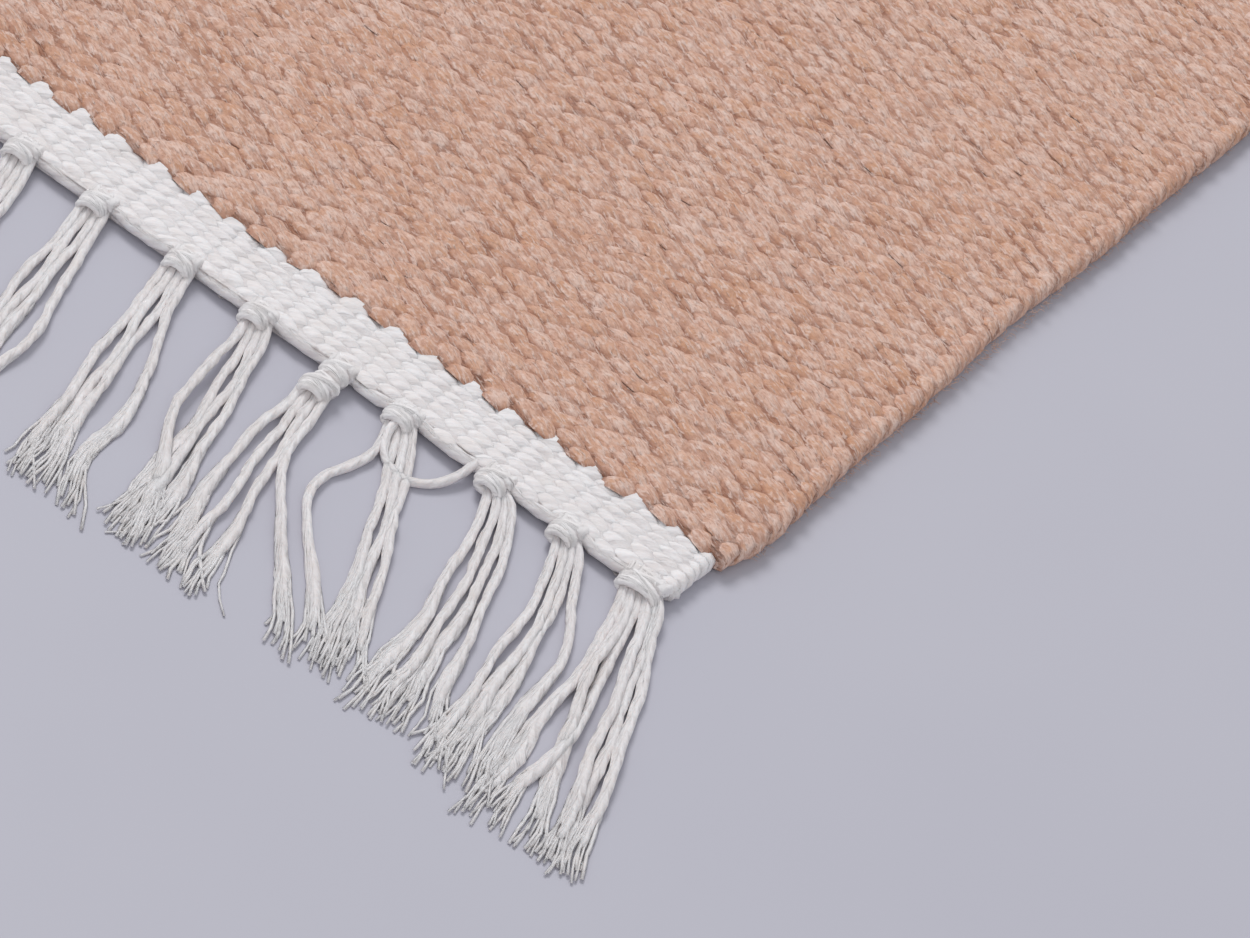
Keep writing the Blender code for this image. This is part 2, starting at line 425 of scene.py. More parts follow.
@dataclass
class Strands:
    """Yarns of one kind, gathered line by line and made into tubes together.

    sides is the sides of each ring, lobes the plies that show on the yarn's outline, groove how deep
    the grooves between them are as a share of the radius, and lay the length of one turn of the plies.
    """

    sides: int
    lobes: int = 0
    groove: float = 0.0
    lay: float = 10 * MM
    paths: list[np.ndarray] = field(default_factory=list)
    radii: list[np.ndarray] = field(default_factory=list)
    numbers: list[float] = field(default_factory=list)
    flats: list[np.ndarray] = field(default_factory=list)

    def add(
        self, path: np.ndarray, radius: np.ndarray | float, number: float, flat: np.ndarray | float = 1.0
    ) -> None:
        """Add one line, of as many stations as the others.

        Args:
            path: The points of the line, which never stands upright.
            radius: The radius at each station or for all.
            number: A number that sets its yarn apart.
            flat: The height of the section as a share of its width, at each station or for all.
        """
        self.paths.append(path)
        self.radii.append(np.broadcast_to(radius, len(path)))
        self.numbers.append(number)
        self.flats.append(np.broadcast_to(flat, len(path)))

    def add_to(self, mesh: JoinedMesh) -> None:
        """Add the tubes to a mesh.

        Args:
            mesh: The mesh.
        """
        path = np.array(self.paths)
        radius = np.array(self.radii)
        tangent = unit(np.gradient(path, axis=1))
        side = unit(np.cross(tangent, UP))
        above = np.cross(side, tangent)
        steps = np.linalg.norm(np.diff(path, axis=1), axis=-1)
        along = np.concatenate((np.zeros((len(path), 1)), np.cumsum(steps, axis=1)), axis=1)
        angle = math.tau * np.arange(self.sides) / self.sides + math.pi / 2
        plies = np.cos(self.lobes * angle - math.tau * along[..., None] / self.lay)
        ring = radius[..., None] * (1 + self.groove * plies)
        across = np.cos(angle)[:, None] * side[:, :, None, :]
        upwards = np.array(self.flats)[..., None, None] * np.sin(angle)[:, None] * above[:, :, None, :]
        points = path[:, :, None, :] + ring[..., None] * (across + upwards)
        yarn = np.empty_like(points)
        yarn[..., 0] = along[..., None] / MM
        yarn[..., 1] = angle * radius[..., None] / MM
        yarn[..., 2] = np.array(self.numbers)[:, None, None]
        # Painted shade in the grooves between the plies; threads without plies get none.
        unshaded = (0.75 + 0.25 * plies if self.lobes else 0.95) * np.ones_like(ring)
        mesh.add(points, yarn, unshaded, wrap=True, caps=True)


@dataclass(frozen=True)
class Unevenness:
    """How uneven a hand weaver's floats are, where the weave's looseness is 1.

    across and along are how far a float lies from its place, wander how far its whole row strays, slub
    how much the yarn swells along a row, width, length and lean how much the float's own vary, thin_sink
    how much deeper a thin stretch of yarn lies, sink how deep any float may lie, peak how far the fullest
    place lies off the middle, and roll and pitch how far the float tips sideways and endways.
    """

    across: float = 0.50 * MM
    along: float = 0.36 * MM
    wander: float = 0.5 * MM
    slub: float = 0.10
    width: float = 0.08
    length: float = 0.06
    lean: float = math.radians(8)
    thin_sink: float = 0.22 * MM
    sink: float = 0.20 * MM
    peak: float = 0.25
    roll: float = 0.15 * MM
    pitch: float = 0.22 * MM


@dataclass(frozen=True)
class Pillow:
    """The form that a float's neighbours press it into.

    bunch is how far its cells crowd to its ends, the more the smaller it is. fuller and leaner give the
    two sides' widths as shares of the yarn's half width: the most, how much is lost at the ends, and the
    power of the curve. side_power and end_power shape its fall, steeper is how much more the fuller side
    falls, and skew how far its sides slide when it leans. shade_ends, shade_fuller and shade_leaner are
    how much each part of the fall counts towards the painted shade of the crevices, which is darkest at
    shade_depth.
    """

    bunch: float = 0.85
    fuller: tuple[float, float, float] = (1.02, 0.72, 1.5)
    leaner: tuple[float, float, float] = (0.90, 0.42, 2.4)
    side_power: float = 2.2
    end_power: float = 2.8
    steeper: float = 1.15
    skew: float = 0.35
    shade_ends: float = 0.75
    shade_fuller: float = 0.5
    shade_leaner: float = 1.05
    shade_depth: float = 1.5 * MM


@dataclass(frozen=True)
class ProudRow:
    """How a last row stands out of its cloth, in shares of its reach.

    wider, further and higher are how much wider, further out and higher its floats are, level is how
    evenly their two sides are raised, and blunt is the most that a float's fuller side may bulge.
    """

    wider: float = 1.1
    further: float = 0.3
    higher: float = 0.22
    level: float = 1.6
    blunt: float = 0.84


@dataclass
class PlainWeave:
    """Weft floats in plain weave over straight warps, each one a low pillow of yarn.

    first_row sets which warps the first row goes over, start is where it begins, middle the height of the
    cloth's middle, and ground half the thickness of the body between the floats. yarn_half and float_half
    are half a float's width and length, side_drop and end_drop how far it falls to its sides and its ends,
    lean its slant, and loose how uneven it is. follow moves points with the cloth's outline. proud is how
    far the last row's floats reach out of the cloth, start_gap how far the first row's stay back from the
    start, and tucked how far the ground reaches out of the start, into the outer pick.
    """

    warps: int
    rows: int
    first_row: int
    start: float
    row_pitch: float
    half_width: float
    middle: float
    ground: float
    yarn_half: float
    float_half: float
    side_drop: float
    end_drop: float
    lean: float
    loose: float
    follow: Callable[[np.ndarray], np.ndarray]
    proud: float = 0.0
    start_gap: float = 0.0
    tucked: float = 0.0
    cells_along: int = 4
    cells_across: int = 3
    uneven: Unevenness = Unevenness()
    pillow: Pillow = Pillow()
    proud_row: ProudRow = ProudRow()

    @property
    def warp_pitch(self) -> float:
        """The distance between two warps."""
        return 2 * self.half_width / self.warps

    @property
    def end(self) -> float:
        """Where the last row ends."""
        return self.start + self.rows * self.row_pitch

    def floats(self, face: Face, rows: range) -> tuple[np.ndarray, np.ndarray]:
        """Find the floats that show on a face, but for those at the selvedges.

        Args:
            face: The face.
            rows: The rows, counted from the start.

        Returns:
            The warp and the row of each float.
        """
        warp, row = np.meshgrid(np.arange(1, self.warps - 1), np.array(rows), indexing="xy")
        shown = (warp + row + self.first_row) % 2 == face.value
        return warp[shown], row[shown]

    def add_floats(self, mesh: JoinedMesh, face: Face, rows: range) -> None:
        """Add the floats of some rows to a mesh.

        Args:
            mesh: The mesh.
            face: The face that they show on.
            rows: The rows, counted from the start.
        """
        warp, row = self.floats(face, rows)
        rng = np.random.default_rng([SEED, face.value, rows.start, self.first_row])

        def stray(size: float) -> np.ndarray:
            """One draw of a size for each float."""
            return size * clipped_normal(rng, len(warp))

        loose, by, proud_row = self.loose, self.uneven, self.proud_row
        x = (warp + 0.5) * self.warp_pitch - self.half_width + stray(by.across * loose)
        y = self.start + (row + 0.5) * self.row_pitch + stray(by.along * loose)
        y = y + by.wander * loose * waves(x, (150 * MM, 61 * MM), 0.11 * row)
        slub = 1 + by.slub * loose * waves(x, (47 * MM, 19 * MM), 1.0 * row)
        width = self.yarn_half * slub * (1 + stray(by.width * loose))
        length = self.float_half * (1 + stray(by.length * loose))
        lean = self.lean + stray(by.lean * loose)
        sink = (by.thin_sink * (1.4 - slub) + np.abs(stray(by.sink))) * loose

        at_end = row == self.rows - 1
        last = at_end & (face is Face.TOP)
        lean = np.where(at_end & (self.proud > 0), 0.0, lean)
        reach = np.where(last, self.proud, 0.0)
        y = y + proud_row.further * reach
        width = width + proud_row.wider * reach
        first = row == 0
        y = y + np.where(first, self.start_gap, 0.4 * self.start_gap * (row == 1))
        length = length * np.where(first & (self.start_gap > 0), 0.80, 1.0)

        form = self.pillow
        u = np.linspace(-1, 1, self.cells_along + 1)
        v = np.linspace(-1, 1, self.cells_across + 1)
        u = np.sign(u) * np.abs(u) ** form.bunch
        along = (length[:, None] * u)[..., None]
        peak = stray(by.peak * loose)[:, None]
        full, loss, power = form.fuller
        fuller = full - loss * np.abs(np.clip(u - 0.4 * peak, -1, 1)) ** power
        fuller = np.where(last[:, None], np.minimum(fuller, proud_row.blunt), fuller)
        full, loss, power = form.leaner
        leaner = full - loss * np.abs(u) ** power
        across = width[:, None, None] * (fuller[..., None] * (1 + v) / 2 - leaner[:, None] * (1 - v) / 2)
        fall = np.where(v < 0, self.side_drop, form.steeper * self.side_drop) * np.abs(v) ** form.side_power
        ends = self.end_drop * (np.abs(u) ** form.end_power)[:, None]
        tip = stray(by.roll * loose)[:, None, None] * v
        tip = tip + stray(by.pitch * loose)[:, None, None] * u[:, None]
        height = self.middle - sink[:, None, None] - (ends + fall) + tip
        raised = proud_row.higher * reach[:, None, None] * (proud_row.level + v)
        height = np.minimum(height, self.middle) + raised
        flip = 1 if face is Face.TOP else -1
        cos, sin = np.cos(lean)[:, None, None], np.sin(lean)[:, None, None]
        points = np.empty((*height.shape, 3))
        points[..., 0] = x[:, None, None] + along * cos - flip * across * sin * form.skew
        points[..., 1] = y[:, None, None] + flip * across * cos + along * sin
        points[..., 2] = self.middle + flip * height
        yarn = np.empty_like(points)
        yarn[..., 0] = (x[:, None, None] + along) / MM
        yarn[..., 1] = across / MM
        yarn[..., 2] = (row * ROW_STEP + self.first_row)[:, None, None]
        # Painted shade: the further a point falls to the float's ends and sides, and the deeper the float
        # sinks, the darker it is painted; where the float tips up it is painted lighter.
        painted_shade_fall = form.shade_ends * ends + np.where(v < 0, form.shade_leaner, form.shade_fuller) * fall
        unshaded = 1 - np.clip((painted_shade_fall - tip + sink[:, None, None]) / form.shade_depth, 0, 1)
        mesh.add(self.follow(points), yarn, unshaded)

    def add_turns(self, mesh: JoinedMesh, side: int) -> None:
        """Add the hairpins that the weft makes round the outermost warp, in place of its floats.

        Each one is a row of rings. inward is how far each ring lies inside the selvedge, turn which way it
        faces, sink how deep it lies, and size how full it is.

        Args:
            mesh: The mesh.
            side: 1 for the selvedge at +X, -1 for the one at -X.
        """
        outer = self.warps - 1 if side > 0 else 0
        rows = np.arange((outer + self.first_row) % 2, self.rows + 1, 2)
        rng = np.random.default_rng([SEED, 5 + side, self.first_row])
        count = len(rows)
        loose = self.loose
        swell = 1 + 0.13 * loose * clipped_normal(rng, count)
        bias = 0.35 * loose * clipped_normal(rng, count, 1.5)
        y = self.start + (rows + 0.5) * self.row_pitch + 0.45 * MM * loose * rng.standard_normal(count)
        inset = 0.8 * self.yarn_half
        y = np.clip(y, self.start + inset, self.end - inset)
        thick = 0.5 * self.middle
        inward = np.array((5.6, 4.2, 2.2, 0.4, 0.0, 0.0, 0.0, 0.4, 2.2, 4.2, 5.6)) * MM
        turn = np.radians((90, 90, 90, 90, 45, 0, -45, -90, -90, -90, -90))
        sink = np.array((1.7, 0.75, 0.3, 0.15, 0.1, 0.1, 0.1, 0.15, 0.3, 0.75, 1.7)) * self.middle / 3.25
        size = np.array((0.25, 0.6, 0.85, 1.0, 0.95, 0.88, 0.95, 1.0, 0.85, 0.6, 0.25))
        sides = 8
        around = math.tau * np.arange(sides) / sides
        out = (self.middle - thick - sink)[:, None] + thick * size[:, None] * np.sin(around)
        out = out - 0.3 * MM * loose * np.abs(clipped_normal(rng, (count, 1, 1)))
        centre = self.half_width - self.middle - inward
        slant = self.row_pitch * (1.15 + bias[:, None, None]) * (np.sin(turn) - 1)[:, None]
        half = (self.yarn_half * 0.95 * swell)[:, None, None]
        points = np.empty((count, len(turn), sides, 3))
        points[..., 0] = centre[:, None] + out * np.cos(turn)[:, None]
        points[..., 1] = slant + half * size[:, None] * np.cos(around)
        points[..., 2] = self.middle + out * np.sin(turn)[:, None]
        points[..., 1] += y[:, None, None] - inward[:, None] * math.tan(self.lean)
        points[..., 1] = np.maximum(points[..., 1], self.start + 0.15 * MM)
        if side < 0:
            points[..., 0] *= -1
        else:
            points = points[:, :, ::-1]
            around = around[::-1]
        yarn = np.empty_like(points)
        steps = np.hypot(np.diff(inward), np.diff(turn) * (self.middle - thick))
        yarn[..., 0] = np.concatenate(([0.0], np.cumsum(steps)))[None, :, None] / MM
        yarn[..., 1] = np.sin(around) * self.yarn_half / MM
        yarn[..., 2] = (rows * ROW_STEP + 3.3)[:, None, None]
        # Painted shade: darker on each ring's inner side, which lies against the cloth, and on the small
        # rings that tuck under at its ends.
        unshaded = (0.35 + 0.5 * np.clip(np.sin(around), 0, 1)) * size[:, None] * np.ones(points.shape[:3])
        mesh.add(self.follow(points), yarn, unshaded, wrap=True, caps=True)

    def build_ground(self, name: str, material: bpy.types.Material, turned: bool = False) -> bpy.types.Object:
        """Make the closed body of warp and weft that shows between the floats, painted in the crevices' shade
        colour.

        Args:
            name: The object's name.
            material: Its material.
            turned: Whether it is turned half round, to the back end.

        Returns:
            The object.
        """
        stations, corner, spans = 40, 6, 24
        half = self.half_width - self.ground - 1.0 * MM
        angle = np.linspace(-math.pi / 2, math.pi / 2, corner)
        spots = np.linspace(-half, half, spans)[1:-1]
        outline = [(half + self.ground * math.cos(a), self.ground * math.sin(a)) for a in angle]
        outline += [(x, self.ground) for x in spots[::-1]]
        outline += [(-x, -z) for x, z in outline]
        inset = 0.15 * self.row_pitch
        y = np.linspace(self.start + inset - self.tucked, self.end - inset, stations)
        section = np.array(outline)
        points = np.empty((1, stations, len(outline), 3))
        points[0, :, :, 0] = section[None, :, 0]
        points[0, :, :, 1] = y[:, None]
        points[0, :, :, 2] = self.middle + section[None, :, 1]
        # Painted shade: the ground between the floats takes nearly the full shade colour of the crevices.
        unshaded = np.full(points.shape[:3], 0.15)
        mesh = JoinedMesh()
        mesh.add(self.follow(points), points / MM, unshaded, wrap=True, caps=True)
        return mesh.build(name, material, turned)


def linear(code: str) -> tuple[float, float, float, float]:
    """Turn an sRGB hex colour into the linear colour that a shader takes.

    Args:
        code: The colour, as six hex digits.

    Returns:
        Red, green, blue and alpha.
    """
    channels = [int(code[i : i + 2], 16) / 255 for i in (0, 2, 4)]
    red, green, blue = (c / 12.92 if c <= 0.04045 else ((c + 0.055) / 1.055) ** 2.4 for c in channels)
    return red, green, blue, 1.0


def add_node(
    tree: bpy.types.NodeTree, kind: str, inputs: dict[str | int, object] | None = None, **settings: object
) -> bpy.types.Node:
    """Add a node with its settings, and fill or link its inputs.

    Args:
        tree: The node tree.
        kind: The node's type name.
        inputs: A value or an output socket for each input that isn't left as it is.
        settings: The node's own properties.

    Returns:
        The node.
    """
    node = tree.nodes.new(kind)
    for name, value in settings.items():
        setattr(node, name, value)
    for name, value in (inputs or {}).items():
        if isinstance(value, bpy.types.NodeSocket):
            tree.links.new(value, node.inputs[name])
        else:
            node.inputs[name].default_value = value
    return node


@dataclass(frozen=True)
class Grain:
    """A noise in a yarn's look, with its size in millimetres, which lies on the rug or along the yarn."""

    name: str
    size: tuple[float, float, float]
    detail: float
    turn: float = 0.0
    on_rug: bool = True


@dataclass(frozen=True)
class Tint:
    """A colour that covers the yarn where a grain goes from one value to another, up or down.

    most is its strongest cover, broken whether blots of the rug break it up, and raised whether it stands
    up from the yarn.
    """

    grain: str
    start: float
    full: float
    most: float
    colour: str
    broken: bool = False
    raised: bool = False


@dataclass(frozen=True)
class SpunYarn:
    """A matt spun yarn: fibres that slope round it, tones that drift along it, and painted shade in its
    crevices.

    deep is the painted shade colour of the crevices, dark, body and light the heather, and pale and warm the
    fibres and stretches that stand out of it. slope is how steeply the fibres wind, and fibre_width,
    fibre_length and tone_length are in millimetres. fibre_bump, crevice, fuzz and plies are how much each of
    them shows: crevice the painted shade of the crevices, and plies both the plies' relief and the painted
    shade between them.
    """

    name: str
    deep: str
    dark: str
    body: str
    light: str
    pale: str
    warm: str
    spin: Spin
    slope: float
    fibre_width: float
    fibre_length: float
    fibre_bump: float
    tone_length: float
    crevice_shade: float
    fuzz: float
    roughness: float
    sheen: float
    sheen_tint: str
    plies: float = 0.0
    subsurface: float = 0.0

    def grains(self) -> tuple[Grain, ...]:
        """The noises of the look: single fibres, clumps of them, and how the tones drift."""
        long, wide = self.fibre_length, self.fibre_width
        return (
            Grain("fibres", (long, wide, 1), 2.0, on_rug=False),
            Grain("heather", (3 * long, 4 * wide, 1), 2.0, on_rug=False),
            Grain("tone", (self.tone_length, 40, 1), 1.0, on_rug=False),
            Grain("patches", (110, 70, 1000), 3.0),
            Grain("blots", (8.5, 6.5, 10), 1.0),
            Grain("specks", (3.1, 1.6, 2), 2.0, math.radians(9)),
            Grain("chunks", (1.9, 1.2, 1.6), 2.0),
            Grain("wisps", (3.8, 0.62, 3), 2.0, math.radians(-14)),
            Grain("strays", (2.4, 0.36, 3), 2.0, math.radians(43)),
        )

    def tints(self) -> tuple[Tint, ...]:
        """The colours laid over the heather, in order."""
        return (
            Tint("tone", 0.50, 0.68, 0.45, self.pale),
            Tint("tone", 0.50, 0.36, 0.38, self.warm),
            Tint("patches", 0.45, 0.75, 0.30, self.pale),
            Tint("fibres", 0.52, 0.72, 0.42, self.pale),
            Tint("fibres", 0.48, 0.30, 0.60, self.dark),
            Tint("blots", 0.56, 0.70, 0.6, self.warm),
            Tint("specks", 0.56, 0.70, 0.7, self.warm),
            # Painted shade: the crevices' shade colour, laid where the mask falls low and broken up by the
            # blots.
            Tint("unshaded", 0.60, 0.10, self.crevice_shade, self.deep, broken=True),
            # Painted shade in the grooves between the plies.
            Tint("lay", 0.40, 0.0, 0.8 * self.plies, self.dark),
            Tint("chunks", 0.52, 0.70, self.fuzz, self.pale),
            Tint("chunks", 0.45, 0.30, self.fuzz, self.dark),
            Tint("wisps", 0.54, 0.68, self.fuzz, self.pale, raised=True),
            Tint("strays", 0.62, 0.76, 0.7 * self.fuzz, self.pale),
            Tint("wisps", 0.47, 0.32, self.fuzz, self.dark),
        )

    def build(self) -> bpy.types.Material:
        """Make the material.

        Returns:
            The material.
        """
        material = bpy.data.materials.new(self.name)
        material.use_nodes = True
        tree = material.node_tree
        shader = tree.nodes["Principled BSDF"]
        made = self.add_grains(tree)
        ramp = add_node(tree, "ShaderNodeValToRGB", {"Fac": made["heather"]})
        stops = ramp.color_ramp.elements
        stops[0].position = 0.28
        stops[0].color = linear(self.dark)
        stops[1].position = 0.72
        stops[1].color = linear(self.light)
        stops.new(0.5).color = linear(self.body)
        colour = ramp.outputs["Color"]
        for tint in self.tints():
            limits = [(tint.grain, tint.start, tint.full, 0.0, tint.most)]
            if tint.broken:
                limits.append(("blots", 0.35, 0.60, 0.5, 1.0))
            covers = []
            for grain, low, high, least, most in limits:
                limit = {"From Min": low, "From Max": high, "To Min": least, "To Max": most}
                inputs = {"Value": made[grain], **limit}
                spread = add_node(tree, "ShaderNodeMapRange", inputs, interpolation_type="SMOOTHSTEP")
                covers.append(spread.outputs["Result"])
            cover = covers[0]
            if tint.broken:
                both = add_node(tree, "ShaderNodeMath", dict(enumerate(covers)), operation="MULTIPLY")
                cover = both.outputs[0]
            if tint.raised:
                made["raised"] = cover
            inputs = {"Factor": cover, 6: colour, 7: linear(tint.colour)}
            colour = add_node(tree, "ShaderNodeMix", inputs, data_type="RGBA").outputs[2]
        tree.links.new(colour, shader.inputs["Base Color"])
        tree.links.new(self.add_bumps(tree, made), shader.inputs["Normal"])
        surface = {
            "Roughness": self.roughness,
            "IOR": 1.5,
            "Specular IOR Level": 0.12,
            "Sheen Weight": self.sheen,
            "Sheen Roughness": 0.5,
            "Sheen Tint": linear(self.sheen_tint),
        }
        if self.subsurface:
            surface["Subsurface Weight"] = self.subsurface
            surface["Subsurface Radius"] = (1.0, 0.9, 0.85)
            surface["Subsurface Scale"] = 0.8 * MM
        for name, value in surface.items():
            shader.inputs[name].default_value = value
        return material

    def add_grains(self, tree: bpy.types.NodeTree) -> dict[str, bpy.types.NodeSocket]:
        """Add the nodes of the patterns that the look is made of.

        Args:
            tree: The material's node tree.

        Returns:
            The output of each pattern, by name.
        """
        yarn = add_node(tree, "ShaderNodeAttribute", attribute_name="yarn").outputs["Vector"]
        # The mesh's mask of painted shade.
        unshaded = add_node(tree, "ShaderNodeAttribute", attribute_name="unshaded").outputs["Fac"]
        rug = add_node(tree, "ShaderNodeTexCoord").outputs["Object"]
        slope = self.spin.value * self.slope
        made = {"unshaded": unshaded}
        for grain in self.grains():
            place, scale = (rug, MM) if grain.on_rug else (yarn, 1.0)
            size = tuple(part * scale for part in grain.size)
            inputs = {"Vector": place, "Rotation": (0.0, 0.0, slope + grain.turn), "Scale": size}
            turned = add_node(tree, "ShaderNodeMapping", inputs, vector_type="TEXTURE").outputs["Vector"]
            inputs = {"Vector": turned, "Scale": 1.0, "Detail": grain.detail, "Roughness": 0.55}
            made[grain.name] = add_node(tree, "ShaderNodeTexNoise", inputs).outputs["Fac"]
        inputs = {"Vector": yarn, "Rotation": (0.0, 0.0, slope + math.radians(90))}
        turned = add_node(tree, "ShaderNodeMapping", inputs, vector_type="TEXTURE").outputs["Vector"]
        inputs = {"Vector": turned, "Scale": WAVE_SCALE / PLY_PITCH, "Distortion": 1.6, "Detail": 1.0}
        made["lay"] = add_node(tree, "ShaderNodeTexWave", inputs).outputs["Fac"]
        return made

    def add_bumps(
        self, tree: bpy.types.NodeTree, made: dict[str, bpy.types.NodeSocket]
    ) -> bpy.types.NodeSocket:
        """Add the relief of the plies, the clumps, the fibres and the loose wisps.

        Args:
            tree: The material's node tree.
            made: The output of each pattern, by name.

        Returns:
            The normal.
        """
        normal: dict[str, object] = {}
        for name, strength, distance in (
            ("lay", self.plies, 0.5 * MM),
            ("heather", 0.7 * self.fibre_bump, 1.2 * MM),
            ("chunks", self.fibre_bump * self.fuzz, 1.2 * MM),
            ("fibres", self.fibre_bump, 0.5 * MM),
            ("raised", self.fibre_bump * self.fuzz, 0.35 * MM),
        ):
            inputs = {"Strength": strength, "Distance": distance, "Height": made[name], **normal}
            normal = {"Normal": add_node(tree, "ShaderNodeBump", inputs).outputs["Normal"]}
        return normal["Normal"]


# Hand-spun wool weft, stock-dyed: a soft pink beige with paler and browner fibres carded into it, and a
# slight bloom of loose fibre. Its fibres are drawn over twenty times as coarse as real ones, so that they
# show.
WOOL = SpunYarn(
    name="hand-spun wool, heathered pink beige",
    # The painted shade colour of the crevices, the dips and the ground.
    deep="845341",
    dark="c0917c",
    body="ddb29d",
    light="e4bda9",
    pale="edd2c6",
    warm="d29d7c",
    spin=Spin.RIGHT,
    slope=math.radians(12),
    fibre_width=0.95,
    fibre_length=3.4,
    fibre_bump=0.9,
    tone_length=11.0,
    crevice_shade=0.75,
    fuzz=0.70,
    roughness=0.9,
    sheen=0.25,
    sheen_tint="ead2c6",
)

# Undyed cotton, plied: a clean, slightly cool white with a smoother lay than the wool. Its fibres are drawn
# about thirty times as coarse as real ones, so that they show.
COTTON = SpunYarn(
    name="plied cotton, undyed white",
    # The painted shade colour of the crevices, the grooves and the ground.
    deep="c6bcbb",
    dark="e5dedd",
    body="f2ecec",
    light="f5f0f0",
    pale="f9f5f5",
    warm="ece4e1",
    spin=Spin.LEFT,
    slope=math.radians(32),
    fibre_width=0.55,
    fibre_length=4.0,
    fibre_bump=0.55,
    tone_length=30.0,
    crevice_shade=0.45,
    fuzz=0.30,
    roughness=0.8,
    sheen=0.12,
    sheen_tint="ffffff",
    # The plies' relief, and the painted shade between them.
    plies=0.42,
    subsurface=0.35,
)

# The same cotton tied tight, which lets less light through; its colours are painted paler, as painted light
# on the knots' wraps.
KNOT_COTTON_PAINTED_PALER = replace(
    COTTON,
    name="tied cotton, undyed white, painted paler",
    dark="ece6e5",
    body="f8f4f4",
    light="faf7f7",
    subsurface=0.0,
)


@dataclass(frozen=True)
class PaintedFloor:
    """Painted concrete, a matt pale cool grey with the faint clouding that a roller leaves."""

    body: str = "c3c1ca"
    cloud: str = "bab8c3"
    cloud_size: float = 180 * MM

    def build(self) -> bpy.types.Material:
        """Make the material.

        Returns:
            The material.
        """
        material = bpy.data.materials.new("painted concrete, matt pale grey")
        material.use_nodes = True
        tree = material.node_tree
        shader = tree.nodes["Principled BSDF"]
        place = add_node(tree, "ShaderNodeTexCoord").outputs["Object"]
        inputs = {"Vector": place, "Scale": 1 / self.cloud_size, "Detail": 3.0}
        clouds = add_node(tree, "ShaderNodeTexNoise", inputs).outputs["Fac"]
        inputs = {"Factor": clouds, 6: linear(self.body), 7: linear(self.cloud)}
        colour = add_node(tree, "ShaderNodeMix", inputs, data_type="RGBA").outputs[2]
        tree.links.new(colour, shader.inputs["Base Color"])
        shader.inputs["Roughness"].default_value = 0.75
        return material


@dataclass
class WoolField:
    """The wool field: its ground, the floats of both faces, the selvedge turns and loose fibre."""

    sizes: RugSizes
    material: bpy.types.Material
    warps: int = 100
    rows: int = 303
    parts: int = 3
    loose_fibres: int = 2600
    selvedge_fibres: int = 2400
    fibre_radius: float = 0.08 * MM
    pieces: list[bpy.types.Object] = field(default_factory=list)

    def weave(self) -> PlainWeave:
        """Set out the wool's plain weave.

        Returns:
            The weave.
        """
        sizes = self.sizes
        return PlainWeave(
            warps=self.warps,
            rows=self.rows,
            first_row=0,
            start=-sizes.half_length,
            row_pitch=2 * sizes.half_length / self.rows,
            half_width=sizes.half_width,
            middle=sizes.thickness / 2,
            ground=1.95 * MM,
            yarn_half=3.55 * MM,
            float_half=5.6 * MM,
            side_drop=1.1 * MM,
            end_drop=1.4 * MM,
            lean=math.radians(-8),
            loose=1.0,
            follow=sizes.follow_selvedge,
            start_gap=0.3 * MM,
        )

    def build(self) -> bpy.types.Object:
        """Make all the field's pieces.

        Returns:
            The ground, which stands for the cloth.
        """
        weave = self.weave()
        ground = weave.build_ground("wool_ground", self.material)
        share = math.ceil(self.rows / self.parts)
        for part in range(self.parts):
            rows = range(part * share, min(self.rows, (part + 1) * share))
            mesh = JoinedMesh()
            weave.add_floats(mesh, Face.TOP, rows)
            self.pieces.append(mesh.build(f"wool_floats_top_{part + 1}", self.material))
        under = replace(weave, cells_along=2, cells_across=2)
        mesh = JoinedMesh()
        under.add_floats(mesh, Face.UNDER, range(self.rows))
        self.pieces.append(mesh.build("wool_floats_under", self.material))
        mesh = JoinedMesh()
        weave.add_turns(mesh, 1)
        weave.add_turns(mesh, -1)
        self.pieces.append(mesh.build("wool_selvedges", self.material))
        self.pieces.append(self.build_fibres())
        return ground

    def build_fibres(self) -> bpy.types.Object:
        """Make the loose fibres that stand off the face and the selvedges.

        Returns:
            The object.
        """
        sizes = self.sizes
        rng = np.random.default_rng([SEED, 11])
        top = self.loose_fibres
        edge = self.selvedge_fibres
        count = top + edge
        length = rng.uniform(3.0, 7.5, count) * MM
        heading = rng.uniform(0, math.tau, count)
        x = rng.uniform(-0.985, 0.985, count) * sizes.half_width
        y = rng.uniform(-0.985, 0.985, count) * sizes.half_length
        z = np.full(count, sizes.thickness - 0.35 * MM)
        side = np.where(rng.random(edge) < 0.5, -1.0, 1.0)
        lean = rng.uniform(-0.7, 0.9, edge)
        x[top:] = side * (sizes.half_width - (1 - np.cos(lean)) * sizes.thickness / 2 - 0.3 * MM)
        z[top:] = sizes.thickness / 2 + np.sin(lean) * (sizes.thickness / 2 - 0.4 * MM)
        heading[top:] = np.where(side > 0, 0, math.pi) + rng.uniform(-1.3, 1.3, edge)
        length[top:] *= 0.36
        stations = np.linspace(0, 1, 3)
        curl = rng.uniform(-1.6, 1.6, count)
        turn = heading[:, None] + curl[:, None] * stations
        rise = rng.uniform(0.05, 0.6, count) * MM
        paths = np.empty((count, len(stations), 3))
        paths[..., 0] = x[:, None] + length[:, None] * stations * np.cos(turn)
        paths[..., 1] = y[:, None] + length[:, None] * stations * np.sin(turn)
        paths[..., 2] = z[:, None] + rise[:, None] * np.sin(stations * 2.2)
        paths[..., 2] = np.maximum(paths[..., 2], 0.15 * MM)
        radius = self.fibre_radius * (1 - 0.6 * stations)
        fibres = Strands(sides=3)
        for path, number in zip(paths, rng.uniform(0, 90, count)):
            fibres.add(path, radius, number)
        mesh = JoinedMesh()
        fibres.add_to(mesh)
        return mesh.build("wool_loose_fibres", self.material)


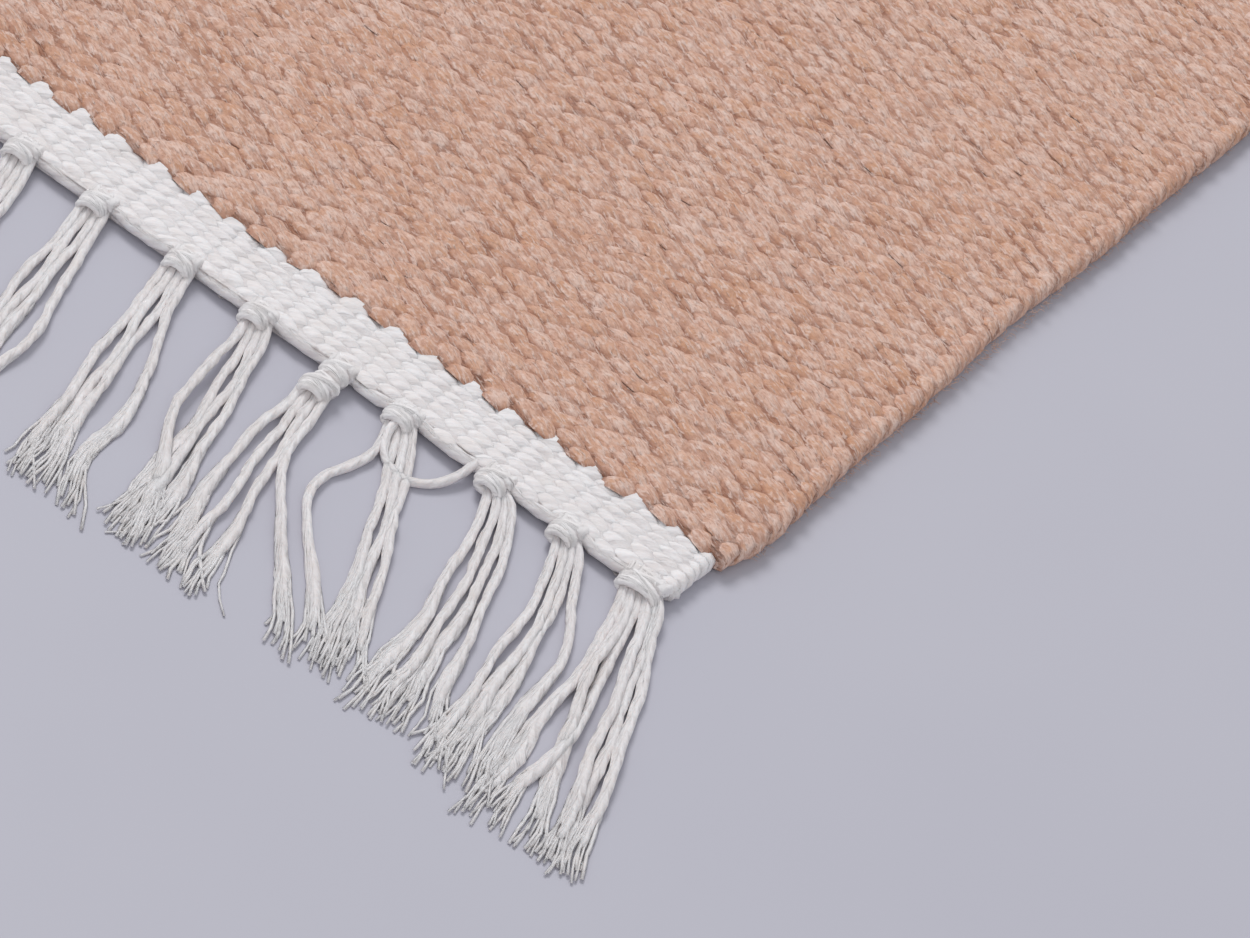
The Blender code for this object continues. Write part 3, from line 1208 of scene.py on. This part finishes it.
@dataclass(frozen=True)
class Brush:
    """How a fringe yarn comes apart into threads, as shares of its length where no unit is given.

    The threads part at split and end at tip, give or take split_by and tip_by, and the yarn ends short
    before them. From early before the split, over the share fade, it gets flatter and sinks to the height
    lower. Over its last share close it shrinks. spread and flare are how far the threads lie apart at
    first and how much further at the tips, in millimetres, wild is how far the odd ones stray, also in
    millimetres, and odd the share of them.
    """

    split: float = 0.60
    split_by: float = 0.13
    tip: float = 0.94
    tip_by: float = 0.03
    short: float = 0.07
    early: float = 0.06
    fade: float = 0.28
    flatter: float = 0.78
    lower: float = 0.42 * MM
    close: float = 0.16
    shrink: float = 0.65
    spread: float = 0.95
    flare: float = 2.4
    wild: float = 10.0
    odd: float = 0.14


@dataclass
class CottonEnd:
    """One end of the rug: its woven cotton band, its outer pick, its knots and its fringe."""

    sizes: RugSizes
    end: End
    material: bpy.types.Material
    # The knots' cotton, painted paler as painted light.
    tied: bpy.types.Material
    rows: int = 12
    warps: int = 100
    pick_radius: float = 1.5 * MM
    pick_height: float = 2.7 * MM
    pick_inset: float = 2.6 * MM
    pick_tuck: float = 4 * MM
    yarn_radius: float = 1.28 * MM
    squash: float = 0.85
    threads: int = 9
    thread_radius: float = 0.62 * MM
    bow_reach: float = 7 * MM
    brush: Brush = Brush()
    pieces: list[bpy.types.Object] = field(default_factory=list)

    @property
    def name(self) -> str:
        """The end's name, as its node has it."""
        return self.end.name.lower()

    @property
    def edge(self) -> float:
        """Where the band ends, at the front."""
        return -self.sizes.half_length - self.sizes.band_depth

    @property
    def turned(self) -> bool:
        """Whether this end is turned half round."""
        return self.end is End.BACK

    def weave(self) -> PlainWeave:
        """Set out the cotton's plain weave, its last row next to the wool.

        Returns:
            The weave.
        """
        sizes = self.sizes
        return PlainWeave(
            warps=self.warps,
            rows=self.rows,
            first_row=1000 + 1001 * self.end.value,
            start=self.edge + 0.3 * MM,
            row_pitch=(sizes.band_depth + 0.2 * MM) / self.rows,
            half_width=sizes.half_width - sizes.band_inset,
            middle=sizes.band_thickness / 2,
            ground=1.6 * MM,
            yarn_half=2.05 * MM,
            float_half=4.7 * MM,
            side_drop=0.9 * MM,
            end_drop=1.35 * MM,
            lean=math.radians(-4),
            loose=0.6,
            follow=self.follow,
            proud=1.2 * MM,
            tucked=1.0 * MM,
            cells_along=6,
            cells_across=4,
        )

    def follow(self, points: np.ndarray) -> np.ndarray:
        """Move points with the selvedges, and the outer rows out with the bowed pick.

        Args:
            points: The points, in any number of dimensions.

        Returns:
            The moved points.
        """
        moved = self.sizes.follow_selvedge(points)
        near = smoothstep(1 - (moved[..., 1] - self.edge) / self.bow_reach)
        moved[..., 1] -= 0.8 * near * self.bow(moved[..., 0])
        return moved

    def bow(self, x: np.ndarray) -> np.ndarray:
        """Find how far the outer pick bows out between two knots.

        Args:
            x: The places across the end.

        Returns:
            The distance at each place.
        """
        knots = np.array([self.sizes.knot_x(self.end, i) for i in range(self.sizes.knots)])[::-1]
        after = np.clip(np.searchsorted(knots, x), 1, len(knots) - 1)
        left, right = knots[after - 1], knots[after]
        share = np.clip((x - left) / (right - left), 0, 1)
        return self.sizes.cord_bow * np.sin(math.pi * share)

    def keep(self, mesh: JoinedMesh, name: str, material: bpy.types.Material) -> None:
        """Make an object of a mesh at this end, and count it among the pieces."""
        self.pieces.append(mesh.build(f"{name}_{self.name}", material, self.turned))

    def build(self) -> bpy.types.Object:
        """Make all the end's pieces.

        Returns:
            The band's ground, which stands for its cloth.
        """
        weave = self.weave()
        ground = weave.build_ground(f"cotton_ground_{self.name}", self.material, self.turned)
        mesh = JoinedMesh()
        weave.add_floats(mesh, Face.TOP, range(self.rows))
        weave.add_turns(mesh, 1)
        weave.add_turns(mesh, -1)
        self.keep(mesh, "cotton_floats_top", self.material)
        under = replace(weave, cells_along=2, cells_across=2)
        mesh = JoinedMesh()
        under.add_floats(mesh, Face.UNDER, range(self.rows))
        self.keep(mesh, "cotton_floats_under", self.material)
        self.build_outer_pick()
        self.build_knots()
        self.build_fringe()
        return ground

    def build_outer_pick(self) -> None:
        """Make the thick last pick, which spans from knot to knot."""
        half = self.sizes.half_width - self.sizes.band_inset - self.pick_inset
        x = np.linspace(-half, half, 190)
        tuck = smoothstep((np.abs(x) - half + self.pick_tuck) / self.pick_tuck)
        y = self.edge + 0.3 * MM - self.bow(x)
        y = y + 0.25 * MM * waves(x, (31 * MM, 13 * MM), np.array(0.7)) + 2.4 * MM * tuck
        z = self.pick_height + 0.3 * MM * waves(x, (41 * MM, 17 * MM), np.array(2.1))
        pick = Strands(sides=8, lobes=2, groove=0.12, lay=7 * MM)
        pick.add(np.stack((x, y, z), axis=-1), self.pick_radius, 4.4 + self.end.value)
        mesh = JoinedMesh()
        pick.add_to(mesh)
        self.keep(mesh, "outer_pick", self.material)

    def build_knots(self) -> None:
        """Make every knot: the warps that run into it, its core and the yarn wrapped round it."""
        mesh = JoinedMesh()
        for index in range(self.sizes.knots):
            tuft = self.sizes.tuft(self.end, index)
            x = self.sizes.knot_x(self.end, index)
            y = self.edge - self.sizes.knot_out
            self.add_gathers(mesh, index, tuft, x, y)
            for tied in range(tuft.knots):
                self.add_knot(mesh, index + 40 * tied, tuft, x, y - tied * self.sizes.second_knot)
        # The knots take the cotton painted paler, as painted light on their wraps.
        self.keep(mesh, "knots", self.tied)

    def add_gathers(self, mesh: JoinedMesh, index: int, tuft: Tuft, x: float, y: float) -> None:
        """Add the warps that leave the band and draw together into a knot.

        Args:
            mesh: The mesh.
            index: The tuft's number.
            tuft: The tuft.
            x: Where the knot lies along the end.
            y: Where it lies out from the rug.
        """
        share = np.linspace(0, 1, 6)
        wide = 2.1 * MM * (tuft.yarns - 1)
        close = 1.5 * MM * (tuft.yarns - 1)
        start = self.edge + 2.4 * MM
        gathers = Strands(sides=6, lobes=2, groove=0.06, lay=8 * MM)
        for rank in np.linspace(-1, 1, tuft.yarns):
            path = np.empty((len(share), 3))
            path[:, 0] = x + rank * (wide + (close - wide) * smoothstep(share)) / 2
            path[:, 1] = start + (y - start) * share
            path[:, 2] = 2.6 * MM + 1.6 * MM * smoothstep(share * 1.4)
            gathers.add(path, 1.25 * self.yarn_radius, 3.7 * index + rank)
        gathers.add_to(mesh)

    def add_knot(self, mesh: JoinedMesh, index: int, tuft: Tuft, x: float, y: float) -> None:
        """Add one knot, as soft wraps of yarn pressed together.

        shift, tilt, size and thick give each wrap's place along the tuft, its slant, its size and the
        yarn's thickness in it.

        Args:
            mesh: The mesh.
            index: The knot's number.
            tuft: Its tuft.
            x: Where it lies along the end.
            y: Where it lies out from the rug.
        """
        number = self.end.value
        width = (0.85 * tuft.yarns + 0.6) * MM
        stations, sides, wraps = 15, 8, 4
        turn = np.linspace(0, math.tau, stations)[:-1]
        wrap = np.arange(wraps)
        shift = np.array((2.3, 0.5, -0.9, -2.5)) * MM
        lean = 0.10 * chance(number, index, 7)
        tilt = np.array((-0.15 + lean, 0.38 - lean, -0.30, 0.08 + 1.5 * lean))
        stray = np.array([chance(number, index, 8 + i) for i in range(wraps)])
        size = np.array((0.82, 1.02, 0.98, 0.88)) + 0.06 * stray
        thick = np.array((1.25, 1.4, 1.3, 1.25)) * MM
        out_x = size[:, None] * width - thick[:, None] * 0.55
        out_z = size[:, None] * 1.75 * MM
        around = math.tau * np.arange(sides) / sides
        centre = np.empty((wraps, stations - 1, 3))
        centre[..., 0] = x + out_x * np.cos(turn)
        centre[..., 1] = y + shift[:, None] + tilt[:, None] * out_x * np.cos(turn)
        centre[..., 2] = 3.3 * MM + out_z * np.sin(turn)
        level = np.zeros((wraps, stations - 1))
        outward = unit(np.stack((np.cos(turn) * out_z, level, np.sin(turn) * out_x), axis=-1))
        along_y = np.array((0.0, 1.0, 0.0))
        groove = 1 + 0.07 * np.cos(2 * around - 3 * turn[:, None])
        ring = thick[:, None, None] * groove
        points = (
            centre[:, :, None, :]
            + (0.85 * ring * np.cos(around))[..., None] * outward[:, :, None, :]
            + (1.25 * ring * np.sin(around))[..., None] * along_y
        )
        points = np.concatenate((points, points[:, :1]), axis=1)
        points = points[:, ::-1]
        yarn = np.empty_like(points)
        yarn[..., 0] = (np.linspace(0, math.tau, stations) * 3.5)[None, :, None]
        yarn[..., 1] = around * 1.5
        yarn[..., 2] = (wrap * 5.1 + index)[:, None, None]
        # Painted shade on the inner side of each wrap, where it presses into the knot.
        unshaded = (0.7 + 0.3 * np.cos(around)) * np.ones(points.shape[:3])
        points[..., 2] = np.clip(points[..., 2], 0.1 * MM, 6.75 * MM)
        mesh.add(points, yarn, unshaded, wrap=True)

    def yarn_shape(self, index: int, yarn: int, share: np.ndarray) -> np.ndarray:
        """The middle line of one fringe yarn.

        Args:
            index: The tuft's number.
            yarn: The yarn's number in it.
            share: The places wanted, from 0 at the knot to 1 at the tip.

        Returns:
            The points of the line.
        """
        sizes = self.sizes
        tuft = sizes.tuft(self.end, index)
        number = self.end.value
        rank = 2 * yarn / (tuft.yarns - 1) - 1
        root_width = 2.0 * MM * (tuft.yarns - 1)
        root_y = self.edge - sizes.knot_out - sizes.second_knot * (tuft.knots - 1)
        shortfall = UNEVEN_TIPS * abs(chance(number, MOST_YARNS * index + yarn, 6))
        tip_y = -sizes.half_length - (tuft.reach - shortfall) * MM
        width = root_width + (tuft.fan * MM - root_width) * share
        x = sizes.knot_x(self.end, index) + tuft.drift * MM * share**tuft.ease + rank * width / 2
        loose = smoothstep(share * 4)
        own = np.array(float(MOST_YARNS * index + yarn + 300 * number))
        x = x + 0.85 * MM * loose * waves(share, (0.83, 0.37), own)
        x = x + 0.16 * MM * loose * waves(share, (0.13, 0.083), own)
        lift = 1.0 * MM * loose * np.maximum(0, waves(share, (0.6, 0.37), own * 1.7))
        if self.end is End.FRONT:
            for stray in STRAYS:
                if (stray.tuft, stray.yarn) != (index, yarn):
                    continue
                x = x + stray.push * MM * np.exp(-(((share - stray.at) / stray.span) ** 2))
                x = x + stray.tip * MM * smoothstep((share - stray.turn) / (1 - stray.turn))
                lift = lift + stray.lift * MM * np.sin(math.pi * np.clip(share, 0, 1))
        y = root_y + (tip_y - root_y) * share
        rest = self.squash * self.yarn_radius
        z = rest + 1.8 * MM * np.clip(1 - share / 0.22, 0, 1) ** 2 + lift * (1 - 0.6 * share)
        return np.stack((x, y, z), axis=-1)

    def build_fringe(self) -> None:
        """Make the fringe: plied yarns that come apart into threads towards their tips."""
        number = self.end.value
        brush = self.brush
        rng = np.random.default_rng([SEED, 21, number])
        yarns = Strands(sides=6, lobes=2, groove=0.055, lay=9 * MM)
        threads = Strands(sides=3)
        for index in range(self.sizes.knots):
            for yarn in range(self.sizes.tuft(self.end, index).yarns):
                own = MOST_YARNS * index + yarn
                split = brush.split + brush.split_by * chance(number, own, 9)
                tip = brush.tip + brush.tip_by * chance(number, own, 10)
                self.add_yarn(yarns, rng, index, yarn, split, tip)
                self.add_threads(threads, rng, index, yarn, split, tip)
        mesh = JoinedMesh()
        yarns.add_to(mesh)
        if self.end is End.FRONT:
            loop = Strands(sides=6, lobes=2, groove=0.035)
            loop.add(curve(LOOP, 24) * MM, 0.92 * self.yarn_radius, 61.0)
            loop.add_to(mesh)
        self.keep(mesh, "fringe_yarns", self.material)
        mesh = JoinedMesh()
        threads.add_to(mesh)
        self.keep(mesh, "fringe_threads", self.material)

    def add_yarn(
        self, yarns: Strands, rng: np.random.Generator, index: int, yarn: int, split: float, tip: float
    ) -> None:
        """Add one fringe yarn, which flattens and draws in where its threads part.

        Args:
            yarns: The fringe yarns so far.
            rng: The source of chance.
            index: The tuft's number.
            yarn: The yarn's number in it.
            split: The share of its length where its threads part.
            tip: The share of its length where they end.
        """
        brush = self.brush
        end = tip - brush.short
        share = np.linspace(0, end, 30)
        line = self.yarn_shape(index, yarn, share)
        fade = smoothstep((share - split + brush.early) / brush.fade)
        close = 1 - brush.shrink * smoothstep((share - end + brush.close) / brush.close)
        swell = 1 + 0.07 * waves(share, (0.21, 0.09), np.array(float(yarn + index)))
        swell = swell + 0.05 * clipped_normal(rng, len(share))
        line[:, 2] += (brush.lower - line[:, 2]) * fade
        thick = self.yarn_radius * self.sizes.tuft(self.end, index).thick
        radius = thick * swell * (1 + fade * (0.35 + 0.8 * share)) * close
        yarns.add(line, radius, 3.1 * (MOST_YARNS * index + yarn), self.squash * (1 - brush.flatter * fade))

    def add_threads(
        self, threads: Strands, rng: np.random.Generator, index: int, yarn: int, split: float, tip: float
    ) -> None:
        """Add the threads that one fringe yarn comes apart into.

        Args:
            threads: The threads so far.
            rng: The source of chance.
            index: The tuft's number.
            yarn: The yarn's number in it.
            split: The share of the yarn's length where they part.
            tip: The share of its length where they end.
        """
        brush = self.brush
        ranks = 2 * (np.arange(self.threads) + 0.5) / self.threads - 1
        for rank in ranks + rng.uniform(-0.12, 0.12, self.threads):
            share = np.linspace(split - brush.early, tip + rng.uniform(-0.02, 0.06), 9)
            loose = np.clip((share - split + brush.early) / (1 - split), 0, 1.2)
            line = self.yarn_shape(index, yarn, share)
            own = np.array(rng.uniform(0, 50))
            wild = rng.uniform(-brush.wild, brush.wild) * MM if rng.random() < brush.odd else 0.0
            line[:, 0] += (brush.spread + brush.flare * loose**1.2) * MM * rank + wild * loose**2.2
            line[:, 0] += 0.8 * MM * loose * waves(share, (0.29, 0.15), own)
            line[:, 1] += 0.5 * MM * loose * waves(share, (0.21, 0.11), own + 2)
            high = 0.35 * MM + rng.uniform(0.0, 0.45) * MM
            line[:, 2] += (high - line[:, 2]) * smoothstep(loose * 1.8)
            line[:, 2] = np.maximum(line[:, 2], 0.2 * MM)
            radius = self.thread_radius * rng.uniform(0.8, 1.25) * (1 - 0.25 * loose**2)
            threads.add(line, radius, rng.uniform(0, 90), 0.5)


@dataclass(frozen=True)
class Studio:
    """The floor, the soft light and the camera."""

    target: tuple[float, float, float] = (0.2935, -0.429, 0.0065)
    from_target: tuple[float, float, float] = (0.2946, -0.8999, 0.8063)
    forward: tuple[float, float, float] = (-0.2582, 0.7212, -0.6428)
    up: tuple[float, float, float] = (-0.5509, 0.4367, 0.7112)
    lens: float = 155.5
    floor_size: float = 14.0

    def build_camera(self) -> None:
        """Make the camera, at the distance and angle from which the corner is seen."""
        data = bpy.data.cameras.new("camera")
        data.lens = self.lens
        data.sensor_width = 36.0
        data.clip_start = 0.01
        camera = bpy.data.objects.new("camera", data)
        back = -Vector(self.forward).normalized()
        up = Vector(self.up)
        right = up.cross(back).normalized()
        up = back.cross(right)
        turn = Matrix((right, up, back)).transposed().to_4x4()
        place = Vector(self.target) + Vector(self.from_target)
        camera.matrix_world = Matrix.Translation(place) @ turn
        bpy.context.scene.collection.objects.link(camera)
        bpy.context.scene.camera = camera

    def build_floor(self) -> None:
        """Make the floor that the rug lies on."""
        bpy.ops.mesh.primitive_plane_add(size=self.floor_size)
        floor = bpy.context.object
        floor.name = "floor"
        floor.data.materials.append(PaintedFloor().build())

    def build_lights(self) -> None:
        """Make an overhead light at the back left, a wider one at the front right, and an even sky."""
        for name, place, size, power in (
            ("overhead", (-3.0, 1.7, 4.3), 2.6, 165.0),
            ("fill", (2.4, -4.6, 3.6), 4.0, 44.0),
        ):
            data = bpy.data.lights.new(name, "AREA")
            data.shape = "DISK"
            data.size = size
            data.energy = power
            light = bpy.data.objects.new(name, data)
            light.location = place
            light.rotation_euler = (-Vector(place)).to_track_quat("-Z", "Y").to_euler()
            bpy.context.scene.collection.objects.link(light)
        world = bpy.data.worlds.new("studio")
        world.use_nodes = True
        sky = world.node_tree.nodes["Background"]
        sky.inputs["Color"].default_value = (0.93, 0.96, 1.0, 1.0)
        sky.inputs["Strength"].default_value = 0.54
        bpy.context.scene.world = world
        bpy.context.scene.view_settings.view_transform = "Standard"


def dress(pieces: Sequence[bpy.types.Object], slot: str) -> None:
    """Let pieces ride on the rug's one body, and report each one with the name of its slot.

    Args:
        pieces: The pieces.
        slot: The slot's name.
    """
    for piece in pieces:
        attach(piece, "root")
        mesh = piece.data
        log.info("%s: %d triangles of %s", piece.name, len(mesh.loops) - 2 * len(mesh.polygons), slot)


def main() -> None:
    """Build the rug, the floor, the lights and the camera."""
    logging.basicConfig(level=logging.INFO, format="%(name)s: %(message)s")
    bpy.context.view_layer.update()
    sizes = RugSizes.from_frame()
    studio = Studio()
    studio.build_camera()
    studio.build_floor()
    studio.build_lights()
    wool = WOOL.build()
    cotton = COTTON.build()
    # The knots' cotton, painted paler as painted light.
    tied = KNOT_COTTON_PAINTED_PALER.build()
    wool_field = WoolField(sizes, wool)
    ground = wool_field.build()
    dress([ground, *wool_field.pieces], "wool")
    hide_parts("wool_field")
    for end in End:
        cotton_end = CottonEnd(sizes, end, cotton, tied)
        band = cotton_end.build()
        dress([band, *cotton_end.pieces], "cotton")
        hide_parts(f"cotton_end_{cotton_end.name}")


if __name__ == "__main__":
    main()
